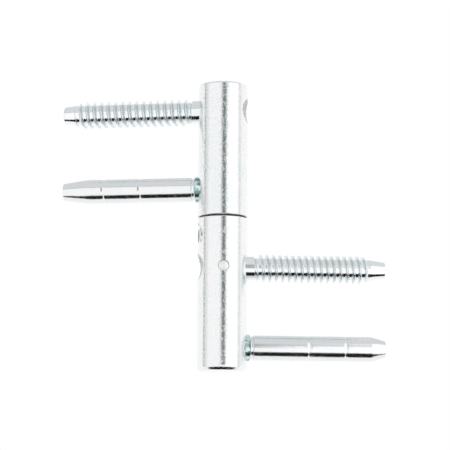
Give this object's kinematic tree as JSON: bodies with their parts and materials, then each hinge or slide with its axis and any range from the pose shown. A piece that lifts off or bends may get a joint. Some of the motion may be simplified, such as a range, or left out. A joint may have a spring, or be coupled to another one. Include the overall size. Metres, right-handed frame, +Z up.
{
  "type": "drill-in door hinge",
  "caption": "Two-part screw-in barrel door hinge with threaded and plain pins in each half and a height adjuster.",
  "frame": {"origin": "centre of the frame barrel's lower end face, on the hinge axis", "axes": "+Z up along the hinge axis, +X along the frame half's pins"},
  "size_m": [0.1304, 0.0313, 0.1162],
  "materials": {
    "zinc_barrel": "bright zinc plate, faintly mottled",
    "zinc_pin": "bright zinc plate on a turned pin",
    "zinc_screw": "bright zinc plate on a rolled thread",
    "bright_steel": "ground",
    "ball_steel": "polished",
    "black_acetal": "moulded, satin"
  },
  "bodies": {
    "frame_half": {"frame_barrel": "zinc_barrel", "frame_support_pin": "zinc_pin", "frame_retaining_pin": "zinc_pin"},
    "frame_screw": {"frame_screw_pin": "zinc_screw"},
    "adjuster": {"height_adjuster": "zinc_pin"},
    "hinge_pin": {"hinge_pin": "bright_steel", "thrust_ball": "ball_steel"},
    "leaf_half": {"leaf_barrel": "zinc_barrel", "leaf_support_pin": "zinc_pin", "leaf_retaining_pin": "zinc_pin", "bearing_bush": "black_acetal", "thrust_pad": "black_acetal"},
    "leaf_screw": {"leaf_screw_pin": "zinc_screw"}
  },
  "joints": [
    {"name": "pin_lift", "type": "slide", "parent": "frame_half", "child": "hinge_pin", "axis": [0, 0, 1], "range_m": [0, 0.003]},
    {"name": "adjuster_turn", "type": "hinge", "parent": "frame_half", "child": "adjuster", "pos_m": [-0.008, 0, 0.0542], "axis": [1, 0, 0], "range_deg": [0, 90]},
    {"name": "leaf_swing", "type": "hinge", "parent": "hinge_pin", "child": "leaf_half", "pos_m": [0, 0, 0.08], "axis": [0, 0, 1], "continuous": true},
    {"name": "frame_screw_turn", "type": "hinge", "parent": "frame_half", "child": "frame_screw", "pos_m": [0, 0, 0.0414], "axis": [1, 0, 0], "continuous": true},
    {"name": "leaf_screw_turn", "type": "hinge", "parent": "leaf_half", "child": "leaf_screw", "pos_m": [0, 0, 0.1054], "axis": [-0.9659, 0.2588, 0], "continuous": true}
  ],
  "couplings": [
    {"joint": "adjuster_turn", "follows": "pin_lift", "rad_per_m": 523.59}
  ]
}
